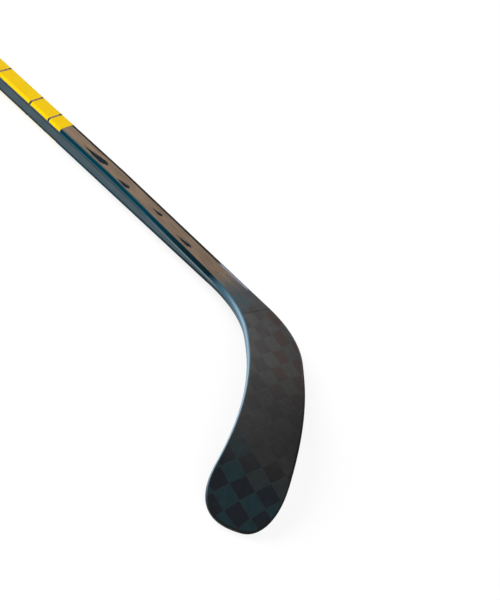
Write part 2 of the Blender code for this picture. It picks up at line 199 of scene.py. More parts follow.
# Finish: base and gain of the roughness, strength of the gloss, height of the relief in metres
SHAFT_ROUGHNESS = 0.32
STREAK_ROUGHNESS = 0.15
SHAFT_GLOSS = 0.05
BLADE_ROUGHNESS = 0.28
WEAVE_ROUGHNESS = 0.08
SOLE_ROUGHNESS = 0.4
BLADE_GLOSS = 0.2
RELIEF = 0.00004
GRAIN_DETAIL = 3.0
GRAIN_FADE = (0.35, 0.65)
GRAIN_ROUGHNESS = 0.2

# Camera, in metres and degrees
CAMERA_TARGET = Vector((0.57611, 0.13379, 0.0))
CAMERA_DISTANCE = 1.8737
CAMERA_AZIMUTH = 37.13
CAMERA_ELEVATION = 35.25
CAMERA_ROLL = 18.97
CAMERA_LENS = 101.62
SENSOR = 36.0

# Studio
FLOOR_HALF = 60.0
FLOOR_WHITE = 0.95
FLOOR_ROUGHNESS = 0.9
FLOOR_GLOSS = 0.1
FLOOR_SHINE = 0.85              # share of the floor's white that shadows don't reach
BACKDROP_TOP = 0.10             # sine of the height at which the white backdrop starts to fade
BACKDROP_END = 0.20             # and of the height at which it is gone
BACKDROP_LIGHT = 0.5            # light of the world up to the first of them
HORIZON_LIGHT = 0.20            # at the second
ZENITH_LIGHT = 0.12             # straight up
WHITE = (1.0, 1.0, 1.0, 1.0)

# Wide, far lamps: direction from the stick, angle across in degrees, strength, and whether gloss shows it
KEY_SIDE = Vector((-0.92, -0.07, 0.39))
FILL_SIDE = Vector((0.78, -0.42, 0.46))
LAMPS = {
    "key": (KEY_SIDE, 47.0, 3.75, False),
    "edge": (KEY_SIDE, 30.0, 0.85, True),
    "fill": (FILL_SIDE, 47.0, 2.8, False),
}

# Directions in the plane of the standing stick, as (x, z)
LIE_ANGLE = math.radians(LIE)
UP = np.array((-math.cos(LIE_ANGLE), math.sin(LIE_ANGLE)))
ACROSS = np.array((math.sin(LIE_ANGLE), math.cos(LIE_ANGLE)))
SHAFT_ANGLE = math.atan2(-ACROSS[1], -ACROSS[0])

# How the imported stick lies, from its mounts
MOUNTS = {mount["name"]: mount for mount in frame["record"]["mounts"]}
BUTT = np.array(MOUNTS["butt_end"]["pos_m"])
DOWN_SHAFT = -np.array(MOUNTS["butt_end"]["axis"], float)
FACE_OUT = np.array(MOUNTS["shaft_broad_face"]["axis"])
TOE_SIDE = np.cross(DOWN_SHAFT, FACE_OUT)


def mix(start, end, share):
    """The value that lies the given share of the way from start to end."""
    return start + (end - start) * share


def tangent_centre(edge_offset, radius, big_centre, big_radius):
    """Centre of the arc that leads from a straight edge of the shaft into a larger arc."""
    start = ACROSS * (edge_offset + radius)
    reach = start - big_centre
    along = reach @ UP
    rest = reach @ reach - (big_radius - radius) ** 2
    return start - UP * (along + math.sqrt(along ** 2 - rest))


def direction_angle(vector):
    """Angle of a vector in the plane of the stick."""
    return math.atan2(vector[1], vector[0])


SOLE_CENTRE = np.array((SOLE_CONTACT, SOLE_RADIUS))
HEEL_CENTRE = tangent_centre(0.0, HEEL_RADIUS, SOLE_CENTRE, SOLE_RADIUS)
HEEL_END_ANGLE = direction_angle(HEEL_CENTRE - SOLE_CENTRE)
TOP_LEAN = math.radians(TOP_SLOPE)
TOP_CENTRE = np.array((TOP_HEIGHT_AT - TOP_RADIUS * math.sin(TOP_LEAN),
                       TOP_HEIGHT + TOP_RADIUS * math.cos(TOP_LEAN)))
NECK_CENTRE = tangent_centre(NECK_WIDTH, NECK_RADIUS, TOP_CENTRE, TOP_RADIUS)
NECK_END_ANGLE = direction_angle(NECK_CENTRE - TOP_CENTRE)
JOINT = max(HEEL_CENTRE @ UP, NECK_CENTRE @ UP)
TUBE_END = STICK_LENGTH - PLUG_FLANGE - CLEARANCE


class Sections:
    """A row of cross-sections from the sole edge to the top edge, bent with the blade."""

    def __init__(self, low, top, thickness, corner):
        span = top - low
        self.low = low
        self.top = top
        self.half_height = np.linalg.norm(span, axis=1) / 2
        self.flat_centre = (low + top) / 2
        self.flat_across = span / (2 * self.half_height[:, None])
        self.half_depth = thickness / 2
        self.corner = np.minimum(corner, self.half_depth - EDGE_LAND)
        self.bend()

    def bend(self):
        """Set the places and axes on the curved and twisted blade."""
        span = BLADE_LENGTH - CURVE_START
        reach = np.maximum(0.0, (self.flat_centre[:, 0] - CURVE_START) / span)
        offset = -CURVE_DEPTH * reach ** CURVE_POWER
        slope = -CURVE_DEPTH * CURVE_POWER * reach ** (CURVE_POWER - 1) / span
        twist = np.radians(TOE_TWIST) * reach[:, None]
        normal = np.stack((-slope, np.ones_like(slope), np.zeros_like(slope)), -1)
        normal /= np.linalg.norm(normal, axis=1, keepdims=True)
        forward, upward = self.flat_across.T
        across = np.stack((forward, forward * slope, upward), -1)
        across /= np.linalg.norm(across, axis=1, keepdims=True)
        self.centre = np.stack((self.flat_centre[:, 0], offset, self.flat_centre[:, 1]), -1)
        self.across = across * np.cos(twist) - normal * np.sin(twist)
        self.normal = normal * np.cos(twist) + across * np.sin(twist)

    def points(self, across, depth):
        """Points of every section, from their distances to its middle."""
        return (self.centre[:, None] + self.across[:, None] * across[..., None]
                + self.normal[:, None] * depth[..., None])

    def flat_points(self, across):
        """The same places before the blade is bent, in the plane of the stick."""
        return self.flat_centre[:, None] + self.flat_across[:, None] * across[..., None]


def shaft_sections(distances):
    """Sections of the straight shaft at distances up from the heel."""
    share = np.clip((distances - JOINT) / TAPER_LENGTH, 0.0, 1.0)
    low = distances[:, None] * UP
    top = low + mix(NECK_WIDTH, SHAFT_WIDTH, share)[:, None] * ACROSS
    corner = np.full_like(distances, SHAFT_CORNER)
    return Sections(low, top, mix(NECK_THICKNESS, SHAFT_THICKNESS, share), corner)


def neck_edge(share, centre, radius, end_angle):
    """Points on one edge of the neck: a straight run from the joint, then an arc."""
    straight = JOINT - centre @ UP
    run = share * (straight + radius * (end_angle - SHAFT_ANGLE))
    angle = SHAFT_ANGLE + np.maximum(run - straight, 0.0) / radius
    arc = centre + radius * np.stack((np.cos(angle), np.sin(angle)), -1)
    return arc + np.maximum(straight - run, 0.0)[:, None] * UP


def arc_height(x, centre, radius):
    """Height of the lower half of an arc."""
    return centre[1] - np.sqrt(radius ** 2 - (x - centre[0]) ** 2)


def blade_edges(share):
    """Points on the sole edge and the top edge, from the neck (0) to the tip of the toe (1)."""
    one = np.ones(1)
    low_x = mix(neck_edge(one, HEEL_CENTRE, HEEL_RADIUS, HEEL_END_ANGLE)[0, 0], BLADE_LENGTH, share)
    top_x = mix(neck_edge(one, NECK_CENTRE, NECK_RADIUS, NECK_END_ANGLE)[0, 0], BLADE_LENGTH, share)
    low_z = arc_height(low_x, SOLE_CENTRE, SOLE_RADIUS)
    top_z = arc_height(top_x, TOP_CENTRE, TOP_RADIUS)
    tip_z = mix(low_z, top_z, TOE_TIP_SHARE)
    into_toe = np.maximum(0.0, 1.0 - (1.0 - share) * BLADE_LENGTH / TOE_ROUNDING)
    left = (1.0 - into_toe ** TOE_FULLNESS) ** (1.0 / TOE_FULLNESS)
    low = np.stack((low_x, mix(tip_z, low_z, left)), -1)
    top = np.stack((top_x, mix(tip_z, top_z, left)), -1)
    return low, top


def blade_sections():
    """Sections from the joint through the neck to the tip of the toe."""
    neck = np.arange(NECK_STEPS) / NECK_STEPS
    toe_start = 1.0 - TOE_ROUNDING / BLADE_LENGTH
    straight = toe_start * np.arange(BLADE_STEPS) / BLADE_STEPS
    toe = mix(toe_start, TIP_SHARE, np.sin(math.pi / 2 * np.arange(TOE_STEPS + 1) / TOE_STEPS))
    blade = np.concatenate((straight, toe))
    neck_low = neck_edge(neck, HEEL_CENTRE, HEEL_RADIUS, HEEL_END_ANGLE)
    neck_top = neck_edge(neck, NECK_CENTRE, NECK_RADIUS, NECK_END_ANGLE)
    blade_low, blade_top = blade_edges(blade)
    thickness = np.concatenate((mix(NECK_THICKNESS, HEEL_THICKNESS, neck),
                                mix(HEEL_THICKNESS, TOE_THICKNESS, blade)))
    corner = np.concatenate((mix(SHAFT_CORNER, EDGE_RADIUS, neck), np.full_like(blade, EDGE_RADIUS)))
    return Sections(np.concatenate((neck_low, blade_low)), np.concatenate((neck_top, blade_top)),
                    thickness, corner)


def outline_distance(points, outline):
    """Distance of flat points from an outline of straight runs."""
    nearest = np.full(points.shape[:-1], np.inf)
    for start, end in zip(outline, outline[1:]):
        run = end - start
        along = np.clip((points - start) @ run / (run @ run), 0.0, 1.0)
        foot = start + along[..., None] * run
        nearest = np.minimum(nearest, np.linalg.norm(points - foot, axis=-1))
    return nearest


def to_world(points):
    """Points of the standing stick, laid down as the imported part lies."""
    flat = points[..., [0, 2]]
    down = STICK_LENGTH - flat @ UP
    out = flat @ ACROSS - SHAFT_WIDTH / 2
    return (BUTT + down[..., None] * DOWN_SHAFT + out[..., None] * TOE_SIDE
            + points[..., 1:2] * FACE_OUT)


def face_spots(sections):
    """Distances across each section, from edge to edge, closer together towards the edges."""
    spread = np.sin(np.linspace(-math.pi / 2, math.pi / 2, FACE_STEPS + 1))
    spread = np.concatenate((spread[:1], spread, spread[-1:]))
    return sections.half_height[:, None] * spread


def face_depth(sections, edge_distance):
    """Half depth of each section at those spots, with none in the middle of its edges."""
    corner = sections.corner[:, None]
    inside = np.clip(edge_distance / corner, 0.0, 1.0)
    depth = sections.half_depth[:, None] - corner + corner * np.sqrt(1.0 - (1.0 - inside) ** 2)
    depth[:, [0, -1]] = 0.0
    return depth


def paint_places(sections, across, depth):
    """Distance up from the heel, distance round from the face's middle, and that from the corner."""
    steps = np.hypot(np.diff(across, axis=1), np.diff(depth, axis=1))
    run = np.concatenate((np.zeros((len(across), 1)), np.cumsum(steps, axis=1)), axis=1)
    run -= run[:, -1:] / 2
    corner_middle = run[:, -2:-1] - sections.corner[:, None] * math.pi / 4
    up = sections.flat_points(across) @ UP
    return np.stack((up, run, np.abs(run) - corner_middle), -1)


def weave_places(sections, across, edge_distance):
    """Counts of squares in the weave's two directions, and the distance from the outline."""
    steps = np.linalg.norm(np.diff(sections.flat_centre[::-1], axis=0), axis=1)
    run = np.concatenate((np.zeros(1), np.cumsum(steps)))
    share = run / run[-1]
    pitch = mix(PITCH_ALONG_TIP, PITCH_ALONG_JOINT, (share[1:] + share[:-1]) / 2)
    along = TIP_COUNT + np.concatenate((np.zeros(1), np.cumsum(steps / pitch)))
    rise = WEAVE_RISE - WEAVE_ARCH * (run - WEAVE_RISE_AT) ** 2
    spread = mix(PITCH_ACROSS_TIP, PITCH_ACROSS_JOINT, share)
    out = 1.0 + (rise[::-1, None] - across) / spread[::-1, None]
    along = np.broadcast_to(along[::-1, None], out.shape)
    return np.stack(((along + out) / 2, (out - along) / 2, edge_distance), -1)


def keep_places(mesh, name, kind, field, backhand, forehand):
    """Keep a value at every point of a shell, outside and inside, for its material."""
    ring = np.concatenate((backhand, forehand[:, -2:0:-1]), axis=1).astype(np.float32).ravel()
    attribute = mesh.attributes.new(name, kind, "POINT")
    attribute.data.foreach_set(field, np.concatenate((ring, ring)))


def ring_faces(index, following):
    """Faces between two rows of points, round the stick."""
    after = np.roll(index, -1, axis=-1)
    after_following = np.roll(following, -1, axis=-1)
    return np.stack((index, after, after_following, following), -1).reshape(-1, 4).tolist()


def surface_normals(points, faces):
    """Outward direction at every point of a surface."""
    mesh = bpy.data.meshes.new("surface")
    mesh.from_pydata(points.tolist(), [], faces)
    normals = np.zeros(points.size, np.float32)
    mesh.vertex_normals.foreach_get("vector", normals)
    bpy.data.meshes.remove(mesh)
    return normals.reshape(-1, 3)


def shell(name, sections, edge_distance, wall, closed_tip):
    """Hollow piece through a row of sections, of the given wall thickness."""
    across = face_spots(sections)
    depth = face_depth(sections, edge_distance)
    backhand = sections.points(across, depth)
    forehand = sections.points(across, -depth)[:, -2:0:-1]
    rings = to_world(np.concatenate((backhand, forehand), axis=1))
    rows, count = rings.shape[:2]
    outer = np.arange(rows * count).reshape(rows, count)
    inner = outer + rows * count
    faces = ring_faces(outer[:-1], outer[1:])
    if closed_tip:
        faces.append(outer[-1].tolist())
    outside = rings.reshape(-1, 3)
    inside = outside - wall * surface_normals(outside, faces)
    faces += ring_faces(inner[1:], inner[:-1])
    faces += ring_faces(inner[0], outer[0])
    if closed_tip:
        faces.append(inner[-1, ::-1].tolist())
    else:
        faces += ring_faces(outer[-1], inner[-1])
    mesh = bpy.data.meshes.new(name)
    mesh.from_pydata(np.concatenate((outside, inside)).tolist(), [], faces)
    paint_place = paint_places(sections, across, depth)
    weave_place = weave_places(sections, across, edge_distance)
    keep_places(mesh, "paint_place", "FLOAT_VECTOR", "vector", paint_place, paint_place)
    keep_places(mesh, "weave_place", "FLOAT_VECTOR", "vector", weave_place, weave_place)
    keep_places(mesh, "depth_place", "FLOAT", "value", depth, -depth)
    mesh.shade_smooth()
    mesh.set_sharp_from_angle(angle=math.radians(SHARP_ANGLE))
    piece = bpy.data.objects.new(name, mesh)
    bpy.context.scene.collection.objects.link(piece)
    return piece


def make_shaft():
    """Painted tube from the butt plug down to the joint."""
    sections = shaft_sections(np.linspace(TUBE_END, JOINT, SHAFT_STEPS + 1))
    edge_distance = sections.half_height[:, None] - np.abs(face_spots(sections))
    return shell("shaft_shell", sections, edge_distance, SHAFT_WALL, False)


def make_blade():
    """Neck and blade in one skin, from the joint to the toe."""
    sections = blade_sections()
    outline = np.concatenate((sections.low, sections.top[::-1]))
    edge_distance = outline_distance(sections.flat_points(face_spots(sections)), outline)
    return shell("blade_shell", sections, edge_distance, SKIN, True)


def rgb(red, green, blue):
    """Colour of a shader from display values up to 255."""
    def linear(value):
        share = value / 255
        return share / 12.92 if share <= 0.04045 else ((share + 0.055) / 1.055) ** 2.4
    return (linear(red), linear(green), linear(blue), 1.0)


# Paint
BROWN_LIGHT = rgb(146, 124, 105)
BROWN_DARK = rgb(94, 79, 66)
SLASH_INK = rgb(0, 28, 37)
TEAL = rgb(0, 52, 66)
TEAL_DEEP = rgb(0, 38, 48)
# painted highlight along the sides of the teal corner
TEAL_HIGHLIGHT = rgb(8, 80, 99)
TEAL_INK = rgb(0, 29, 37)
HEEL_LINE = rgb(8, 18, 21)
STEEL = rgb(58, 73, 79)
STEEL_LIGHT = rgb(71, 86, 93)
# painted highlight along the narrow side near the neck
STEEL_HIGHLIGHT = rgb(122, 140, 148)
PINSTRIPE_INK = rgb(20, 30, 36)
# painted highlight on the heel's side of the neck
HEEL_HIGHLIGHT = rgb(134, 143, 168)
YELLOW = rgb(241, 202, 2)
YELLOW_DEEP = rgb(233, 189, 1)

# Weave
TOE_DARK = rgb(27, 27, 27)
TOE_INK = rgb(25, 29, 33)
TOE_GREY = rgb(40, 40, 40)
TOE_TEAL = rgb(26, 42, 46)
MIDDLE_DARK = rgb(47, 47, 47)
MIDDLE_LIGHT = rgb(50, 50, 50)
HEEL_BROWN = rgb(62, 53, 51)
HEEL_SLATE = rgb(57, 56, 56)
HEEL_GREY = rgb(64, 64, 64)
NECK_BLUE = rgb(53, 65, 70)
NECK_GREY = rgb(62, 64, 68)
LINE_GREY = rgb(78, 80, 84)

# Rim and seam
EDGE_BLUE = rgb(45, 80, 97)
# painted highlight on the neck's top corner
EDGE_HIGHLIGHT = rgb(112, 140, 157)
SOLE_BROWN = rgb(30, 21, 17)
TOE_RIM = rgb(12, 15, 16)
SEAM_DARK = rgb(20, 20, 22)

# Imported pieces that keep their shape, by material: its light and dark grains, the grains' scale,
# the roughness, the height of the relief, and the nodes
GRAINED = {
    "foam": (rgb(226, 220, 206), rgb(204, 196, 178), 900.0, 0.9, 0.0001,
             ("lower_core", "middle_core", "upper_core")),
    "dense_foam": (rgb(206, 202, 192), rgb(184, 178, 166), 1400.0, 0.8, 0.00006, ("toe_core",)),
    "hosel_composite": (rgb(66, 66, 68), rgb(40, 40, 43), 700.0, 0.55, 0.00006,
                        ("tenon", "lower_rib", "upper_rib")),
    "plug_plastic": (rgb(42, 42, 43), rgb(30, 30, 31), 1500.0, 0.6, 0.00005, ("end_plug",)),
}


class Graph:
    """The nodes of a material or a world, with short calls that add to them."""

    def __init__(self, owner, shader):
        owner.use_nodes = True
        self.owner = owner
        self.tree = owner.node_tree
        self.shader = self.tree.nodes[shader]

    def feed(self, socket, value):
        """Link a socket to another, or set its plain value."""
        if isinstance(value, bpy.types.NodeSocket):
            self.tree.links.new(value, socket)
        else:
            socket.default_value = value

    def finish(self, **inputs):
        """Feed the shader's inputs, named with underscores for spaces."""
        for name, value in inputs.items():
            self.feed(self.shader.inputs[name.replace("_", " ")], value)

    def add(self, kind, *values, **settings):
        """A node with some settings, its inputs fed in order."""
        node = self.tree.nodes.new(kind)
        for setting, value in settings.items():
            setattr(node, setting, value)
        for socket, value in zip(node.inputs, values):
            self.feed(socket, value)
        return node

    def math(self, operation, *values):
        """Result of one sum."""
        return self.add("ShaderNodeMath", *values, operation=operation).outputs[0]

    def times(self, value, *others):
        """Product of two or more values."""
        for other in others:
            value = self.math("MULTIPLY", value, other)
        return value

    def scaled(self, value, gain, base):
        """A value times a gain, plus a base."""
        return self.math("MULTIPLY_ADD", value, gain, base)

    def flip(self, share):
        """The rest of a share, up to 1."""
        return self.math("SUBTRACT", 1.0, share)

    def above(self, value, limit):
        """1 where a value is over a limit, else 0."""
        return self.math("GREATER_THAN", value, limit)

    def ramp(self, value, start, end):
        """Smooth step from 0 at start to 1 at end."""
        node = self.add("ShaderNodeMapRange", value, start, end, interpolation_type="SMOOTHSTEP")
        return node.outputs[0]

    def step(self, value, place, soft):
        """Smooth step from 0 to 1 round a place, or from 1 to 0 where soft is negative."""
        return self.ramp(value, place - soft, place + soft)

    def band(self, value, low, high, soft):
        """1 between two values and 0 outside them, with soft sides."""
        return self.times(self.step(value, low, soft), self.step(value, high, -soft))

    def blend(self, share, first, second):
        """Colour between two others."""
        node = self.add("ShaderNodeMix", data_type="RGBA")
        self.feed(node.inputs[0], share)
        self.feed(node.inputs[6], first)
        self.feed(node.inputs[7], second)
        return node.outputs[2]

    def shaded(self, colour, shade):
        """A colour times a number."""
        node = self.add("ShaderNodeVectorMath", colour, operation="SCALE")
        self.feed(node.inputs["Scale"], shade)
        return node.outputs[0]

    def parts(self, vector):
        """The three numbers of a vector."""
        return self.add("ShaderNodeSeparateXYZ", vector).outputs

    def kept(self, name, output):
        """What a mesh keeps under a name."""
        return self.add("ShaderNodeAttribute", attribute_name=name).outputs[output]

    def noise(self, place, scale, detail):
        """Cloudy value between 0 and 1."""
        node = self.add("ShaderNodeTexNoise")
        self.feed(node.inputs["Vector"], place)
        self.feed(node.inputs["Scale"], scale)
        self.feed(node.inputs["Detail"], detail)
        return node.outputs[0]

    def grain(self, first, second, scales, detail, layer=0.0):
        """Noise of two numbers, each with its own scale."""
        place = self.add("ShaderNodeCombineXYZ", self.times(first, scales[0]),
                         self.times(second, scales[1]), layer)
        return self.noise(place.outputs[0], 1.0, detail)

    def relief(self, height, distance):
        """Raised surface, for the shader's normal."""
        node = self.add("ShaderNodeBump")
        self.feed(node.inputs["Distance"], distance)
        self.feed(node.inputs["Height"], height)
        return node.outputs[0]

    def direct_rays(self):
        """1 for rays that show the background itself, and not its light on the object."""
        rays = self.add("ShaderNodeLightPath").outputs
        either = self.math("MAXIMUM", rays["Is Camera Ray"], rays["Is Glossy Ray"])
        return self.math("MAXIMUM", either, rays["Is Transmission Ray"])


class Spot:
    """Where a point lies on the stick, from what its shell keeps."""

    def __init__(self, graph):
        self.up, self.round, self.corner = graph.parts(graph.kept("paint_place", "Vector"))
        self.first, self.second, self.edge = graph.parts(graph.kept("weave_place", "Vector"))
        self.depth = graph.kept("depth_place", "Fac")
        self.along = graph.math("SUBTRACT", self.first, self.second)
        self.top_side = graph.above(self.round, 0.0)
        self.heel_side = graph.flip(self.top_side)
        self.backhand = graph.above(self.depth, 0.0)


def new_material(name):
    """Graph of a new material."""
    return Graph(bpy.data.materials.new(name), "Principled BSDF")


def slash_mask(graph, spot):
    """Dark tapered strokes along the broad faces, with ragged sides."""
    ragged = graph.scaled(graph.grain(spot.up, spot.round, RAGGED_SCALE, RAGGED_DETAIL), *RAGGED_WIDTH)
    mask = 0.0
    for start, length, place, width in SLASHES:
        share = graph.math("DIVIDE", graph.math("SUBTRACT", spot.up, start), length)
        middle = graph.scaled(share, SLASH_SLOPE * length, place)
        offset = graph.math("ABSOLUTE", graph.math("SUBTRACT", spot.round, middle))
        taper = graph.times(graph.ramp(share, *SLASH_OPENING), graph.ramp(share, *SLASH_CLOSING))
        half = graph.times(taper, width / 2, ragged)
        inside = graph.step(graph.math("SUBTRACT", half, offset), 0.0, CRISP)
        inside = graph.times(inside, graph.band(share, SLASH_TIP, 1.0 - SLASH_TIP, SLASH_TIP))
        mask = graph.math("MAXIMUM", mask, inside)
    return mask


def bar_mask(graph, spot):
    """Yellow slanted bars over the broad faces and their corners."""
    slanted = graph.scaled(spot.round, BAR_SLANT, spot.up)
    mask = 0.0
    for start, end in YELLOW_BARS:
        mask = graph.math("MAXIMUM", mask, graph.band(slanted, start, end, SOFT))
    place = graph.scaled(graph.flip(spot.backhand), BAR_END - FOREHAND_BAR_END, spot.corner)
    return graph.times(mask, graph.step(place, BAR_END, -CRISP))


def heel_highlight_mask(graph, spot):
    """Painted highlight: a pale line beside the neck's corner, on the heel's side of the backhand face."""
    across = graph.band(spot.corner, *HEEL_HIGHLIGHT_LINE, SOFT)
    along = graph.band(spot.up, *HEEL_HIGHLIGHT_RUN, HEEL_HIGHLIGHT_TIP)
    return graph.times(across, along, spot.heel_side, spot.backhand)


def broad_face(graph, spot, tone):
    """Brown of the broad faces, paler further up, with dark slashes."""
    paler = graph.scaled(graph.ramp(spot.up, *BROWN_RISE), BROWN_RISE_GAIN, tone)
    brown = graph.blend(graph.math("SUBTRACT", paler, BROWN_DROP), BROWN_DARK, BROWN_LIGHT)
    return graph.blend(slash_mask(graph, spot), brown, SLASH_INK)


def narrow_side(graph, spot, tone, neck_blue):
    """Steel grey of the narrow sides, with a thin dark line and a painted highlight line on the backhand
    half.
    """
    steel = graph.blend(tone, STEEL, STEEL_LIGHT)
    pinstripe = graph.times(graph.band(spot.corner, *PINSTRIPE, CRISP),
                            graph.ramp(spot.up, *PINSTRIPE_FADE), spot.backhand)
    steel = graph.blend(pinstripe, steel, PINSTRIPE_INK)
    # painted highlight: a pale line on the backhand half, near the neck
    steel_highlight = graph.times(graph.band(spot.corner, *NARROW_HIGHLIGHT, SOFT),
                         graph.ramp(spot.up, *NARROW_HIGHLIGHT_FADE), spot.backhand)
    steel = graph.blend(steel_highlight, steel, STEEL_HIGHLIGHT)
    return graph.blend(neck_blue, steel, EDGE_BLUE)


def corner_band(graph, spot, clouds, neck_blue):
    """Teal of the corners with painted highlights along their sides, and the dark line on the heel's side.
    """
    darker = graph.ramp(spot.up, *TEAL_DARKENING)
    teal = graph.blend(darker, graph.blend(clouds, TEAL_DEEP, TEAL), TEAL_INK)
    middle = graph.band(spot.corner, TEAL_START + TEAL_HIGHLIGHT_WIDTH, TEAL_END - TEAL_HIGHLIGHT_WIDTH, TEAL_HIGHLIGHT_WIDTH / 2)
    # painted highlight along both sides of the teal, on the backhand's top corner
    teal_highlight = graph.times(graph.flip(middle), graph.flip(darker), spot.top_side, spot.backhand)
    teal = graph.blend(teal_highlight, teal, TEAL_HIGHLIGHT)
    teal = graph.blend(graph.times(spot.heel_side, spot.backhand), teal, HEEL_LINE)
    return graph.blend(graph.times(neck_blue, spot.backhand), teal, EDGE_BLUE)


def paint(graph, spot):
    """Colour and streaks of the painted shaft and neck."""
    streaks = graph.grain(spot.up, spot.round, STREAK_SCALE, STREAK_DETAIL)
    clouds = graph.grain(spot.up, spot.round, CLOUD_SCALE, CLOUD_DETAIL)
    both = graph.scaled(streaks, STREAK_SHARE, graph.times(clouds, 1.0 - STREAK_SHARE))
    tone = graph.ramp(both, *TONE_FADE)
    neck_blue = graph.times(graph.ramp(spot.up, *NECK_BLUE_FADE), spot.top_side)
    colour = broad_face(graph, spot, tone)
    place = graph.scaled(spot.heel_side, TEAL_START - HEEL_TEAL_START, spot.corner)
    colour = graph.blend(graph.step(place, TEAL_START, SOFT), colour,
                         corner_band(graph, spot, clouds, neck_blue))
    colour = graph.blend(graph.step(spot.corner, TEAL_END, SOFT), colour,
                         narrow_side(graph, spot, tone, neck_blue))
    yellow = graph.blend(clouds, YELLOW_DEEP, YELLOW)
    return graph.blend(bar_mask(graph, spot), colour, yellow), streaks


def square_colour(graph, spot, across, along, odd):
    """Colour of each square: teal and black at the toe, grey in the middle, brown at the heel."""
    toe = graph.ramp(spot.along, *TOE_FADE)
    heel = graph.ramp(spot.along, *HEEL_FADE)
    neck = graph.ramp(graph.scaled(across, NECK_SLANT, along), *NECK_FADE)
    brown = graph.ramp(across, *BROWN_FADE)
    rows = graph.math("MINIMUM", across, TOE_TEAL_ROWS)
    teal = graph.ramp(graph.scaled(rows, TOE_TEAL_SLANT, along), *TOE_TEAL_FADE)
    first = graph.blend(toe, MIDDLE_LIGHT, graph.blend(teal, TOE_DARK, TOE_INK))
    first = graph.blend(heel, first, HEEL_GREY)
    first = graph.blend(neck, first, NECK_BLUE)
    second = graph.blend(toe, MIDDLE_DARK, graph.blend(teal, TOE_GREY, TOE_TEAL))
    second = graph.blend(heel, second, graph.blend(brown, HEEL_SLATE, HEEL_BROWN))
    second = graph.blend(neck, second, NECK_GREY)
    return graph.blend(odd, first, second)


def line_distance(graph, spot):
    """Distance from the nearest line between squares, as a share of a square."""
    nearest = []
    for count in (spot.first, spot.second):
        part = graph.math("FRACT", count)
        nearest.append(graph.math("MINIMUM", part, graph.flip(part)))
    return graph.math("MINIMUM", *nearest)


def weave(graph, spot):
    """Colour and height of the blade's flat carbon tows, woven in squares, with painted shade towards the
    sole.
    """
    first_count = graph.math("FLOOR", spot.first)
    second_count = graph.math("FLOOR", spot.second)
    total = graph.math("ADD", first_count, second_count)
    across = graph.math("ADD", total, 1.0)
    along = graph.math("SUBTRACT", first_count, second_count)
    odd = graph.math("FLOORED_MODULO", total, 2.0)
    lengthwise = graph.grain(spot.first, spot.second, FIBRE_SCALE, FIBRE_DETAIL)
    crossing = graph.grain(spot.first, spot.second, FIBRE_SCALE[::-1], FIBRE_DETAIL, CROSSING_LAYER)
    fibres = graph.math("ADD", graph.times(lengthwise, graph.flip(odd)), graph.times(crossing, odd))
    near = line_distance(graph, spot)
    line = graph.times(graph.ramp(near, TOW_LINE, 0.0), TOW_LINE_SHARE)
    colour = graph.blend(line, square_colour(graph, spot, across, along, odd), LINE_GREY)
    clouds = graph.grain(spot.first, spot.second, RESIN_SCALE, RESIN_DETAIL)
    # painted shade: the squares darken towards the sole
    below = graph.math("SUBTRACT", graph.math("ADD", spot.first, spot.second), 1.0)
    sole_shade = graph.times(graph.ramp(spot.along, *SOLE_PAINTED_SHADE_FADE), SOLE_PAINTED_SHADE)
    shade = graph.times(graph.scaled(fibres, *FIBRE_SHADE), graph.scaled(clouds, *RESIN_SHADE),
                        graph.scaled(below, sole_shade, 1.0))
    height = graph.scaled(fibres, FIBRE_HEIGHT, graph.ramp(near, 0.0, TOW_LINE * 2))
    return graph.shaded(colour, shade), height


def rim_share(graph, spot):
    """Thin rim round the blade, wider along the neck's top edge and along the sole."""
    neck = graph.times(spot.top_side, graph.ramp(spot.along, *NECK_RIM_FADE))
    sole = graph.times(spot.heel_side, graph.band(spot.along, *SOLE_RIM_RUN, SOLE_RIM_TIP))
    inside = graph.scaled(neck, -NECK_RIM, spot.edge)
    return graph.ramp(graph.scaled(sole, -SOLE_RIM, inside), *RIM_FADE)


def rim_colour(graph, spot):
    """Dark sole and toe, and a blue top edge with a painted highlight on its ridge at the neck and painted
    shade on its forehand side.
    """
    # painted highlight on the ridge of the neck's top corner
    ridge_highlight = graph.times(graph.band(spot.corner, *RIDGE_HIGHLIGHT, RIDGE_HIGHLIGHT_SOFT),
                        graph.ramp(spot.up, *RIDGE_HIGHLIGHT_FADE), spot.top_side)
    blue = graph.blend(ridge_highlight, EDGE_BLUE, EDGE_HIGHLIGHT)
    # painted shade on the rim's forehand side, towards the floor
    underside_shade = graph.times(graph.ramp(spot.depth, *UNDERSIDE_SHADE_FADE), graph.ramp(spot.along, *UNDERSIDE_SHADE_RUN))
    blue = graph.blend(underside_shade, blue, TEAL_DEEP)
    dark = graph.blend(graph.ramp(spot.along, *TOE_RIM_FADE), SOLE_BROWN, TOE_RIM)
    return graph.blend(graph.times(spot.top_side, graph.ramp(spot.along, *RIM_BLUE_FADE)), dark, blue)


def paint_share(graph, spot, streaks):
    """How much of the weave the paint covers, with streaks where it fades out over the neck."""
    on_edge = graph.times(spot.top_side, graph.ramp(spot.corner, *EDGE_PAINT_FADE))
    reach = graph.scaled(streaks, PAINT_WANDER, spot.up)
    reach = graph.scaled(on_edge, EDGE_PAINT_REACH, reach)
    return graph.ramp(reach, *(height + PAINT_WANDER / 2 for height in PAINT_FADE))


def shaft_material():
    """Satin paint over lengthwise carbon."""
    graph = new_material("shaft_paint")
    spot = Spot(graph)
    colour, streaks = paint(graph, spot)
    # the base colour carries the painted highlight on the heel's side of the neck
    graph.finish(Base_Color=graph.blend(heel_highlight_mask(graph, spot), colour, HEEL_HIGHLIGHT),
                 Roughness=graph.scaled(streaks, STREAK_ROUGHNESS, SHAFT_ROUGHNESS),
                 Specular_IOR_Level=SHAFT_GLOSS,
                 Normal=graph.relief(streaks, RELIEF))
    return graph.owner


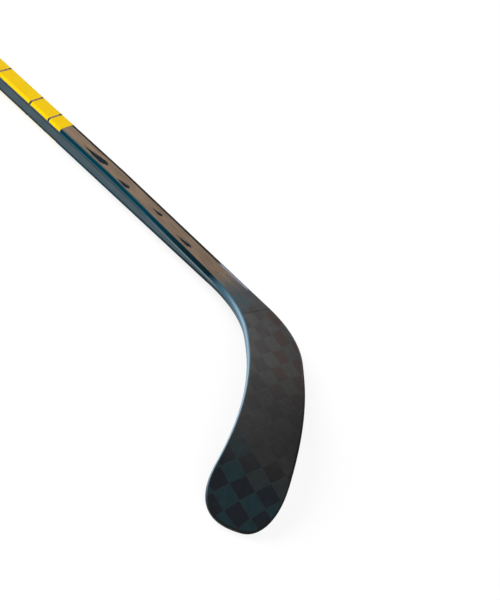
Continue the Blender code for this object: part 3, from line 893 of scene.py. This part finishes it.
def blade_material():
    """Clear resin over flat carbon tows, with the shaft's paint fading out over the neck."""
    graph = new_material("blade_weave")
    spot = Spot(graph)
    painted, streaks = paint(graph, spot)
    woven, height = weave(graph, spot)
    rim = rim_share(graph, spot)
    colour = graph.blend(rim, woven, rim_colour(graph, spot))
    colour = graph.blend(paint_share(graph, spot, streaks), colour, painted)
    # painted highlight on the heel's side of the neck
    colour = graph.blend(heel_highlight_mask(graph, spot), colour, HEEL_HIGHLIGHT)
    wavy = graph.scaled(streaks, SEAM_WAVE, spot.up)
    seam = graph.times(graph.band(wavy, *SEAM, SEAM_SOFT), graph.ramp(spot.edge, *SEAM_INSET), SEAM_SHARE)
    rough = graph.scaled(graph.times(rim, spot.heel_side), SOLE_ROUGHNESS, BLADE_ROUGHNESS)
    ply = graph.times(graph.ramp(spot.up, *SEAM), SEAM_STEP)
    raised = graph.scaled(height, graph.ramp(spot.edge, *WEAVE_INSET), ply)
    graph.finish(Base_Color=graph.blend(seam, colour, SEAM_DARK),
                 Roughness=graph.scaled(height, WEAVE_ROUGHNESS, rough),
                 Specular_IOR_Level=BLADE_GLOSS,
                 Normal=graph.relief(raised, RELIEF))
    return graph.owner


def grained_material(name, light, dark, scale, roughness, depth):
    """Moulded or foamed material: two close tones in fine grains."""
    graph = new_material(name)
    place = graph.add("ShaderNodeTexCoord").outputs["Object"]
    grains = graph.noise(place, scale, GRAIN_DETAIL)
    graph.finish(Base_Color=graph.blend(graph.ramp(grains, *GRAIN_FADE), dark, light),
                 Roughness=graph.scaled(grains, GRAIN_ROUGHNESS, roughness - GRAIN_ROUGHNESS / 2),
                 Normal=graph.relief(grains, depth))
    return graph.owner


def set_material(piece, material):
    """Give a piece one material."""
    piece.data.materials.clear()
    piece.data.materials.append(material)


def dress_inner_nodes():
    """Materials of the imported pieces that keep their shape."""
    for name, (*finish, nodes) in GRAINED.items():
        material = grained_material(name, *finish)
        for node in nodes:
            set_material(frame["nodes"][node], material)


def make_floor():
    """Pale floor that keeps a soft shadow, white to the camera."""
    corners = [(-FLOOR_HALF, -FLOOR_HALF, 0), (FLOOR_HALF, -FLOOR_HALF, 0),
               (FLOOR_HALF, FLOOR_HALF, 0), (-FLOOR_HALF, FLOOR_HALF, 0)]
    mesh = bpy.data.meshes.new("floor")
    mesh.from_pydata(corners, [], [(0, 1, 2, 3)])
    floor = bpy.data.objects.new("floor", mesh)
    bpy.context.scene.collection.objects.link(floor)
    graph = new_material("floor_white")
    graph.finish(Base_Color=(FLOOR_WHITE, FLOOR_WHITE, FLOOR_WHITE, 1.0),
                 Roughness=FLOOR_ROUGHNESS,
                 Specular_IOR_Level=FLOOR_GLOSS)
    white = graph.add("ShaderNodeEmission", WHITE, 1.0)
    share = graph.times(graph.direct_rays(), FLOOR_SHINE)
    mixed = graph.add("ShaderNodeMixShader", share, graph.shader.outputs[0], white.outputs[0])
    graph.feed(graph.tree.nodes["Material Output"].inputs["Surface"], mixed.outputs[0])
    set_material(floor, graph.owner)


def make_world():
    """Soft light that fades from the horizon up, with a white backdrop near the horizon."""
    graph = Graph(bpy.data.worlds.new("studio"), "Background")
    bpy.context.scene.world = graph.owner
    height = graph.parts(graph.add("ShaderNodeTexCoord").outputs["Generated"])["Z"]
    shades = graph.add("ShaderNodeValToRGB", height)
    levels = ((BACKDROP_TOP, BACKDROP_LIGHT), (BACKDROP_END, HORIZON_LIGHT), (1.0, ZENITH_LIGHT))
    elements = shades.color_ramp.elements
    while len(elements) < len(levels):
        elements.new(BACKDROP_END)
    for element, (place, light) in zip(elements, levels):
        element.position = place
        element.color = (light, light, light, 1.0)
    low = graph.add("ShaderNodeMapRange", height, BACKDROP_END, BACKDROP_TOP).outputs[0]
    share = graph.times(graph.direct_rays(), low)
    graph.finish(Color=graph.blend(share, shades.outputs["Color"], WHITE))


def make_lights():
    """Soft light: the edge lamp draws the highlight along the top edge, the others light the faces."""
    for name, (direction, angle, strength, glossy) in LAMPS.items():
        lamp = bpy.data.lights.new(name, "SUN")
        lamp.angle = math.radians(angle)
        lamp.energy = strength
        light = bpy.data.objects.new(name, lamp)
        bpy.context.scene.collection.objects.link(light)
        light.visible_glossy = glossy
        light.rotation_mode = "QUATERNION"
        light.rotation_quaternion = (-direction).to_track_quat("-Z", "Y")


def make_camera():
    """Camera at the photograph's angle."""
    azimuth = math.radians(CAMERA_AZIMUTH)
    elevation = math.radians(CAMERA_ELEVATION)
    back = Vector((math.sin(azimuth) * math.cos(elevation), -math.cos(azimuth) * math.cos(elevation),
                   math.sin(elevation)))
    data = bpy.data.cameras.new("camera")
    data.sensor_width = SENSOR
    data.lens = CAMERA_LENS
    camera = bpy.data.objects.new("camera", data)
    bpy.context.scene.collection.objects.link(camera)
    camera.location = CAMERA_TARGET + back * CAMERA_DISTANCE
    camera.rotation_mode = "QUATERNION"
    roll = Quaternion((0.0, 0.0, 1.0), math.radians(CAMERA_ROLL))
    camera.rotation_quaternion = (-back).to_track_quat("-Z", "Y") @ roll
    bpy.context.scene.camera = camera


def main():
    """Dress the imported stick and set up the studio."""
    bpy.context.scene.view_settings.view_transform = "Standard"
    shaft = make_shaft()
    set_material(shaft, shaft_material())
    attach(shaft, "root")
    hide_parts("shaft_tube")
    blade = make_blade()
    set_material(blade, blade_material())
    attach(blade, "root")
    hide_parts("backhand_laminate", "forehand_laminate")
    dress_inner_nodes()
    make_floor()
    make_world()
    make_lights()
    make_camera()


main()
